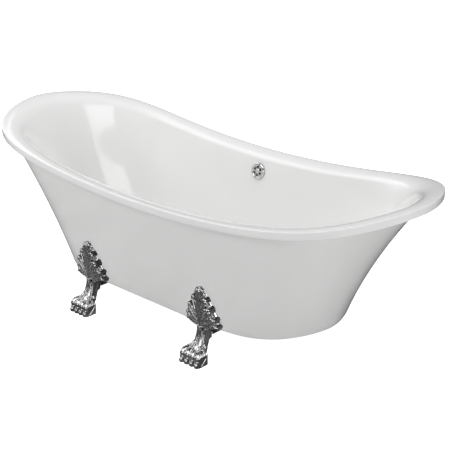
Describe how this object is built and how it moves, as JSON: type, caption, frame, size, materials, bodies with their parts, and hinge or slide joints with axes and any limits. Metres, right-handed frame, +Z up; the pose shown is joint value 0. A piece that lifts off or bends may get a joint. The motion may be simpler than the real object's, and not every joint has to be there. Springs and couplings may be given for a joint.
{
  "type": "freestanding bathtub",
  "caption": "Freestanding double-slipper bathtub with a rolled rim, tapered skirt, claw feet with levellers, side overflow and a click-clack drain.",
  "frame": {"origin": "on the floor under the middle of the tub", "axes": "+X along the tub's length, +Y towards the side with the overflow, +Z up"},
  "size_m": [1.76, 0.73, 0.602],
  "materials": {
    "basin_acrylic": "glossy white acrylic",
    "skirt_acrylic": "glossy white acrylic",
    "white_seal": "soft white sealant bead",
    "board": "raw board sealed with resin",
    "cast_chrome": "polished chrome on cast metal, darker in the hollows",
    "chrome": "polished chrome",
    "black_steel": "black powder coat",
    "zinc_steel": "zinc plated",
    "black_rubber": "moulded rubber",
    "grey_plastic": "moulded polypropylene",
    "brass": "machined brass"
  },
  "bodies": {
    "tub": {"basin": "basin_acrylic", "skirt": "skirt_acrylic", "rim_seal": "white_seal", "base_board": "board", "cross_rail_left": "black_steel", "cross_rail_right": "black_steel", "claw_foot_front_left": "cast_chrome", "foot_bracket_front_left": "black_steel", "foot_bolt_front_left": "zinc_steel", "rail_bolt_outer_front_left": "zinc_steel", "rail_bolt_inner_front_left": "zinc_steel", "claw_foot_front_right": "cast_chrome", "foot_bracket_front_right": "black_steel", "foot_bolt_front_right": "zinc_steel", "rail_bolt_outer_front_right": "zinc_steel", "rail_bolt_inner_front_right": "zinc_steel", "claw_foot_rear_left": "cast_chrome", "foot_bracket_rear_left": "black_steel", "foot_bolt_rear_left": "zinc_steel", "rail_bolt_outer_rear_left": "zinc_steel", "rail_bolt_inner_rear_left": "zinc_steel", "claw_foot_rear_right": "cast_chrome", "foot_bracket_rear_right": "black_steel", "foot_bolt_rear_right": "zinc_steel", "rail_bolt_outer_rear_right": "zinc_steel", "rail_bolt_inner_rear_right": "zinc_steel", "overflow_cover": "chrome", "overflow_gasket": "black_rubber", "overflow_body": "grey_plastic", "overflow_pipe": "grey_plastic", "pipe_nut": "brass", "drain_flange": "chrome", "drain_gasket": "black_rubber", "lower_gasket": "black_rubber", "waste_tee": "brass", "outlet_pipe": "chrome", "outlet_nut": "chrome", "stopper_cartridge": "brass"},
    "stopper": {"stopper_cap": "chrome", "stopper_seal": "black_rubber"},
    "leveller_front_left": {"leveller_front_left": "zinc_steel"},
    "leveller_front_right": {"leveller_front_right": "zinc_steel"},
    "leveller_rear_left": {"leveller_rear_left": "zinc_steel"},
    "leveller_rear_right": {"leveller_rear_right": "zinc_steel"}
  },
  "joints": [
    {"name": "stopper_lift", "type": "slide", "parent": "tub", "child": "stopper", "axis": [0, 0, 1], "range_m": [0, 0.009]},
    {"name": "leveller_front_left_screw", "type": "slide", "parent": "tub", "child": "leveller_front_left", "axis": [0, 0, -1], "range_m": [0, 0.01]},
    {"name": "leveller_front_right_screw", "type": "slide", "parent": "tub", "child": "leveller_front_right", "axis": [0, 0, -1], "range_m": [0, 0.01]},
    {"name": "leveller_rear_left_screw", "type": "slide", "parent": "tub", "child": "leveller_rear_left", "axis": [0, 0, -1], "range_m": [0, 0.01]},
    {"name": "leveller_rear_right_screw", "type": "slide", "parent": "tub", "child": "leveller_rear_right", "axis": [0, 0, -1], "range_m": [0, 0.01]}
  ]
}
